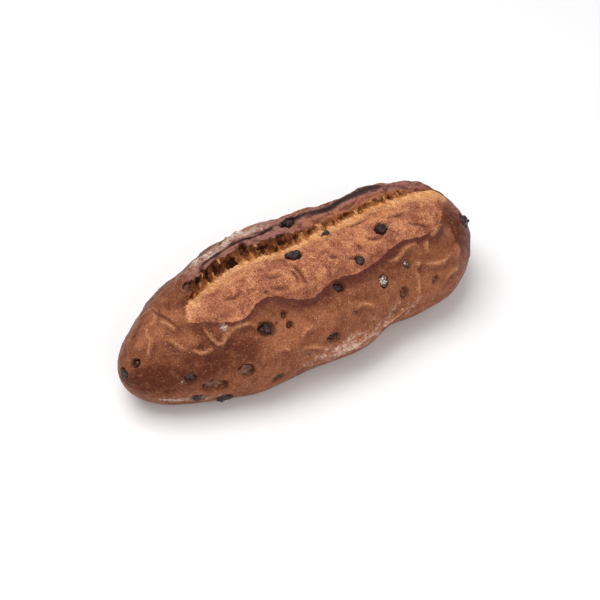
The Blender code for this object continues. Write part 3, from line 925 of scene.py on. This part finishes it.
def torn_burst(s):
    """Colour of the pebbly surface that swelled out of the slash, golden next to the tear."""
    broad, pebble, fine = s.noise(8, 3), s.noise(3, 6, 0.7), s.noise(0.9, 2)
    colour = s.tinted(
        s.mix(s.ramp(broad, 0.38, 0.62), BURST_PINK, BURST_TAN),
        (pebble, 0.50, 0.66, 0.6, BURST_DARK),
        (fine, 0.50, 0.66, 0.25, BURST_PALE),
        (s.noise(2, 1), 0.66, 0.74, 0.7, BURST_DARK),
        ("tone", 0, -1.2, 0.6, BURST_DARK),
        ("tone", 0, 1.2, 0.6, GOLD),
    )
    winding = s.calculate("ABSOLUTE", s.calculate("SUBTRACT", s.noise(6, 4, 0.6), 0.5))
    cracked = s.product(s.ramp(winding, 0.01, 0.07, 0.75, 0), s.ramp(s.noise(11, 2), 0.5, 0.62))
    colour = s.mix(cracked, colour, BURST_DARK)
    flake = s.shifted("flake", s.noise(2, 3, 0.6), 0.4)
    near = s.shifted("gold_mm", s.noise(5, 3), 3.0)
    golden = s.mix(s.ramp("thread", 0.25, -0.3), GOLD_PALE, GOLD)
    return s.tinted(colour, (flake, 0.1, 0.9, 0.55, BURST_DARK), (near, 17, 6, 0.95, golden))


def torn_wall(s):
    """Colour of the torn crumb between the ear and the burst, darker up under the ear as painted shade."""
    strand = s.shifted("strand", s.noise(1.1, 3, 0.6, (1, 0.4, 0.4)), 0.2)
    down = s.shifted("tear_mm", s.noise(3, 3), 2.0)
    colour = s.mix(s.ramp(strand, -0.3, 0.3), WALL_DARK, WALL_BROWN)
    colour = s.mix(s.product("reddish", 0.65), colour, WALL_AMBER)
    return s.tinted(
        colour,
        # the lower wall turns amber; the upper wall stays dark as painted shade under the ear
        (down, -7, -2, 1, s.mix(s.ramp(strand, -0.2, 0.3), WALL_BROWN, WALL_AMBER)),
        (down, -3, 2, 0.8, GOLD),
        (strand, 0.38, 0.65, 0.5, GOLD_PALE),
    )


def ear_skin(s, colour):
    """The colour under the ear's baked skin, which ends where the torn crumb begins."""
    reddish = s.shifted("reddish", s.noise(4, 4, 0.6), 0.45)
    skin = s.mix(s.ramp(reddish, 0, 1), EAR_PURPLE, EAR_BROWN)
    # darker in the crumpled hollows: dark cracks and painted shade
    skin = s.tinted(skin, ("crumple", 0.1, -0.45, 0.65, EAR_CRACK_AND_SHADE))
    reach = s.ramp(s.shifted("ear_mm", s.noise(3, 2), 0.8), -1.0, 1.2)
    return s.mix(s.product(reach, s.ramp("tear_mm", -1, -3), "lip"), colour, skin)


def flour_cover(s):
    """How much of the surface the flour hides."""
    heaped = s.shifted("flour", s.noise(6, 2), 0.35)
    dusted = s.shifted(heaped, s.noise(1.3, 5, 0.8, (0.6, 1, 1)), 0.6)
    return s.product(s.ramp(dusted, 0.35, 1.2, 0, 0.8), s.ramp("flour", 0.02, 0.15))


def crust_material():
    s = Shading("olive_bread_crust")
    fine = s.noise(1.3, 3)
    inside = s.ramp(s.shifted("burst_mm", s.noise(1.6, 2), 0.6), -0.4, 0.5)
    inside = s.product(inside, s.ramp("opened", 0.0, 0.15))
    colour = s.mix(inside, baked_crust(s), torn_burst(s))
    # painted shade along the creases and slits
    colour = s.tinted(colour, (s.shifted("crease", fine, 0.2), 0.2, 0.85, 0.8, CREASE_SHADE_COLOUR))
    colour = s.tinted(
        ear_skin(s, colour),
        (s.shifted("wall", fine, 0.12), 0.3, 0.7, 1, torn_wall(s)),
        # painted shade in the holes and pits
        (s.shifted("hole_shade", fine, 0.1), 0.2, 0.7, 1, HOLE_SHADE_COLOUR),
        (s.shifted("char", s.noise(2.5, 3), 0.18), 0.25, 0.75, 0.95, CHAR),
    )
    colour = s.mix(s.product("halo", s.ramp(fine, 0.3, 0.6, 0.2, 0.65)), colour, HALO_COLOUR)
    flour = flour_cover(s)
    matte = s.calculate("MAXIMUM", inside, flour)
    colour = s.mix(flour, colour, FLOUR)
    # specks, the pale grey ones painted glints
    colour = s.speckled_with_glints(colour, s.noise(0.9, 3, 0.8), s.ramp(matte, 0, 1, 0.32, 0.34))
    s.feed(s.surface["Base Color"], colour)
    satin = s.ramp(s.noise(2.5, 3, 0.6), 0.35, 0.65, 0.30, 0.48)
    s.feed(s.surface["Roughness"], s.calculate("MAXIMUM", satin, s.product(matte, 0.8)))
    s.feed(s.surface["Specular IOR Level"], 0.05)
    s.feed(s.surface["Specular Tint"], SHEEN_TINT)
    s.bump((s.noise(1.0, 2), 0.10), (s.noise(2.6, 2), 0.45), (s.noise(6, 2), 0.8))
    return s.material


def olive_material():
    s = Shading("olive_skin_and_flesh")
    blotch, fine = s.noise(2.4, 4, 0.6), s.noise(0.9, 2)
    # purple-brown patches on the black pieces, partly painted glints
    black = s.mix(s.ramp(blotch, 0.4, 0.65), OLIVE_BLACK, OLIVE_PURPLE)
    brown = s.mix(s.ramp(blotch, 0.35, 0.6), OLIVE_BROWN, OLIVE_TAN)
    brown = s.tinted(brown, (fine, 0.5, 0.65, 0.8, OLIVE_PURPLE))
    flour = s.product("floury", s.ramp(s.noise(1.3, 4, 0.7), 0.45, 0.58))
    s.feed(s.surface["Base Color"], s.mix(flour, s.mix("veiled", black, brown), FLOUR))
    s.feed(s.surface["Roughness"], s.ramp(fine, 0.35, 0.65, 0.25, 0.5))
    s.feed(s.surface["Specular IOR Level"], 0.35)
    s.bump((fine, 0.2), (blotch, 0.5))
    return s.material


def patches(skin, table):
    """The sum of a table's soft patches at each point."""
    x = skin.point[:, 0]
    axis_z = TIP_HEIGHT + (BELLY_HEIGHT - TIP_HEIGHT) * swell(x, TAPER)
    around = np.degrees(np.arctan2(skin.point[:, 2] - axis_z, skin.point[:, 1])) % 360
    around = np.where(around > 300, around - 360, around)
    return sum(
        strength * mound(x, at * MM, length * MM) * mound(around, turned, half_turn)
        for at, turned, length, half_turn, strength in table
    )


def draft_tree(skin):
    """The surface before its relief, for finding places on it."""
    draft = mesh_of("draft", skin)
    tree = BVHTree.FromPolygons([v.co for v in draft.vertices], [p.vertices for p in draft.polygons])
    bpy.data.meshes.remove(draft)
    return tree


def make_tears(skin, zones):
    """What tore along the slash, as values for each point.

    Strand, thread and crumple are uneven, about -1 to 1. Char_centre is in metres. The others say how much
    of something there is, from 0 to 1.
    """
    x = skin.point[:, 0]
    uneven = rough(skin.point, 5 * MM, 2)
    unrolled = np.stack([x + 1.5 * MM * uneven, zones.tear, 0 * x], axis=1)
    strands = rough(unrolled, STRANDS[1], 3, STRAND_STRETCH)
    top = zones.tear + blend_along(x, WALL_HEIGHT) + 2.5 * MM * uneven
    foot = zones.tear - blend_along(x, WALL_FOOT) + 1.5 * MM * uneven + 1.6 * MM * strands
    lip = ease(x + 3 * MM * uneven, *WALL_START) * zones.opened
    torn = lip * (1 - ease(x + 3 * MM * uneven, *WALL_END))
    wall = ease(top, -MM, MM) * (1 - ease(foot, -MM, 1.5 * MM)) * torn
    wall *= ease(zones.ear, 2.5 * MM, 5 * MM)
    inside = ease(zones.burst, -0.5 * MM, 1.5 * MM) * zones.opened
    threads = rough(unrolled, THREADS[1], 2, THREAD_STRETCH, 20.0)
    threads *= (1 - ease(zones.tear, *THREAD_REACH)) * ease(zones.tear, -4 * MM, 0) * zones.opened
    charred = ease(x, *CHAR_START) * (1 - ease(x, *CHAR_END)) * zones.opened
    patchy = 1 - ease(x, 10 * MM, 40 * MM)
    charred *= np.clip(1 - patchy * (0.2 - rough(unrolled, 9 * MM, 2, (1, 0.5, 1), 80.0)), 0, 1)
    return SimpleNamespace(
        inside=inside,
        outer=(1 - inside) * (1 - wall),
        lip=lip,
        wall=wall,
        strand=strands,
        thread=threads,
        crumple=rough(unrolled, EAR_CRUMPLE[1], 3, (0.45, 1, 1), 60.0),
        holes=wall * ease(rough(unrolled, HOLE_WIDTH, 2, (1, 0.7, 1), 40.0), 0.22, 0.50),
        pits=pits(x, zones.tear, 0.5 * rough(unrolled, 2.2 * MM, 2)) * torn,
        char_centre=blend_along(x, CHAR_CENTRE) + wander(x, MM, 4.0),
        charred=charred,
    )


def make_pinches(skin, tree, outer):
    """How close each point is to a ridge, a fold, the hollow below it with its painted shade, a crease or a
    flake, from 0 to 1.
    """
    below = [
        [(x, around + FOLD_SHADE_TURN * (1 if around > HIGHEST_ON_BACK else -1)) for x, around in path]
        for path in RIDGES
    ]
    ridge, fold, hollow, crease, faint, flake = (
        nearness(skin.point, tree, paths, reach)
        for paths, reach in (
            (RIDGES, RIDGE_REACH),
            (RIDGES, FOLD_REACH),
            (below, FOLD_SHADE_REACH),
            (CREASES, CREASE_REACH),
            (FAINT_CREASES, FAINT_REACH),
            (FAINT_CREASES, FLAKE_REACH),
        )
    )
    fold = fold * outer
    return SimpleNamespace(
        ridge=ridge * outer,
        fold=fold,
        fold_shade=hollow * outer * (1 - fold),
        crease=np.maximum(crease, FAINTNESS * faint),
        flake=flake,
    )


def relief(skin, zones, tears, pinches, dimples):
    """How far each point of the fine surface stands out of the skin."""
    x = skin.point[:, 0]
    crust = ease(skin.point[:, 2], 8 * MM, 45 * MM) * tears.outer
    ear = mound(zones.ear, -2 * MM, 7 * MM) * zones.opened
    band = ease(zones.ear, 4 * MM, 7 * MM) * (1 - tears.wall) * (zones.tear < 0) * tears.lip
    return (
        crust * CRUST_WAVER[0] * rough(skin.point, CRUST_WAVER[1], 2)
        + crust * CRUST_DIMPLES[0] * dimples
        + crust * CRUST_GRAIN[0] * rough(skin.point, CRUST_GRAIN[1], 2)
        + tears.inside * BURST_WAVER[0] * rough(skin.point, BURST_WAVER[1], 2)
        + tears.inside * BURST_PEBBLE[0] * rough(skin.point, BURST_PEBBLE[1], 4)
        + tears.wall * STRANDS[0] * tears.strand
        + THREADS[0] * tears.thread
        - HOLE_DEPTH * tears.holes
        - blend_along(x, PIT_DEPTH) * tears.pits
        + ear * blend_along(x, EAR_ROUGHNESS) * rough(skin.point, EAR_LUMP, 3)
        + band * (EAR_SKIN + EAR_CRUMPLE[0] * tears.crumple)
        + RIDGE_HEIGHT * pinches.ridge
        + FOLD_HEIGHT * pinches.fold
        - FOLD_SHADE_DEPTH * pinches.fold_shade
        - CREASE_DEPTH * pinches.crease
        - edge_strength(x) * EDGE_GROOVE * mound(zones.crust, -0.7 * MM, 0.8 * MM)
        + edge_strength(x) * EDGE_RIM * mound(zones.crust, 0.7 * MM, 0.9 * MM)
        - tears.charred * CHAR_CRACK * mound(zones.ear, tears.char_centre, 0.7 * MM)
    )


def slash_values(skin, zones, tears):
    """What the loaf's material reads about the slash at each point."""
    x = skin.point[:, 0]
    return {
        "burst_mm": zones.burst / MM,
        "ear_mm": zones.ear / MM,
        "tear_mm": zones.tear / MM,
        "gold_mm": (zones.tear + follow(GOLD_NARROWING, x)) / MM,
        "crust_mm": np.where(zones.crust < 0, 40, zones.crust / MM),
        "opened": zones.opened,
        "edge": edge_strength(x),
        "lip": tears.lip,
        "wall": tears.wall,
        "strand": tears.strand,
        "thread": tears.thread,
        "crumple": tears.crumple,
        # holes and pits darkened as painted shade
        "hole_shade": np.maximum(0.6 * tears.holes, tears.pits * blend_along(x, PIT_SHADE)),
        "char": tears.charred * mound(zones.ear, tears.char_centre, blend_along(x, CHAR_REACH)),
        "reddish": ease(zones.ear, 4 * MM, 9 * MM) * ease(x, -10 * MM, 30 * MM),
    }


def make_loaf():
    """The loaf's fine surface, with what its material reads stored on it. Returns the olives' seats."""
    skin = make_skin()
    zones = make_zones(skin)
    tree = draft_tree(skin)
    tears = make_tears(skin, zones)
    pinches = make_pinches(skin, tree, tears.outer)
    dimples = rough(skin.point, CRUST_DIMPLES[1], 3)
    skin.point += skin.normal() * relief(skin, zones, tears, pinches, dimples)[:, None]
    seats = olive_seats(tree)
    halo = sink_pockets(skin, seats)
    skin.point[:, 2] = np.maximum(skin.point[:, 2], 0)
    under_ear = ease(zones.ear, 3.5 * MM, 5.5 * MM) * zones.opened * (zones.crust < 0)
    values = {
        **slash_values(skin, zones, tears),
        **vars(pinches),
        "dimple": dimples,
        "halo": halo,
        "tone": patches(skin, TONE_PATCHES),
        "flour": patches(skin, FLOUR_PATCHES) * (1 - under_ear),
    }
    loaf = add_object("crust_loaf", mesh_of("crust_loaf", skin))
    for name, value in values.items():
        store(loaf.data, name, value)
    loaf.data.materials.append(crust_material())
    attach(loaf, "root")
    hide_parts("loaf")
    return seats


def make_stage():
    """A plain pale floor and soft studio light from above."""
    bpy.ops.mesh.primitive_plane_add(size=FLOOR_SIZE)
    floor = bpy.context.object
    floor.name = "floor"
    s = Shading("pale_floor")
    s.feed(s.surface["Base Color"], FLOOR_COLOUR)
    s.feed(s.surface["Roughness"], 0.9)
    floor.data.materials.append(s.material)
    world = bpy.data.worlds.new("studio")
    world.use_nodes = True
    sky = world.node_tree.nodes["Background"].inputs
    sky["Color"].default_value = (1, 1, 1, 1)
    sky["Strength"].default_value = WORLD_STRENGTH
    bpy.context.scene.world = world
    for name, place, size, power in LIGHTS:
        light = bpy.data.lights.new(name, "AREA")
        light.size = size
        light.energy = power
        lamp = add_object(name, light)
        lamp.location = place
        lamp.rotation_euler = (-Vector(place)).to_track_quat("-Z", "Y").to_euler()
    bpy.context.scene.view_settings.view_transform = "Standard"


def make_camera():
    azimuth, elevation = (math.radians(angle) for angle in CAMERA_ANGLES)
    towards = Vector((
        math.sin(azimuth) * math.cos(elevation),
        -math.cos(azimuth) * math.cos(elevation),
        math.sin(elevation),
    ))
    camera = add_object("camera", bpy.data.cameras.new("camera"))
    camera.data.lens = CAMERA_LENS
    camera.location = Vector(CAMERA_TARGET) + CAMERA_DISTANCE * towards
    camera.rotation_euler = towards.to_track_quat("Z", "Y").to_euler()
    bpy.context.scene.camera = camera


make_camera()
make_stage()
make_olives(make_loaf())
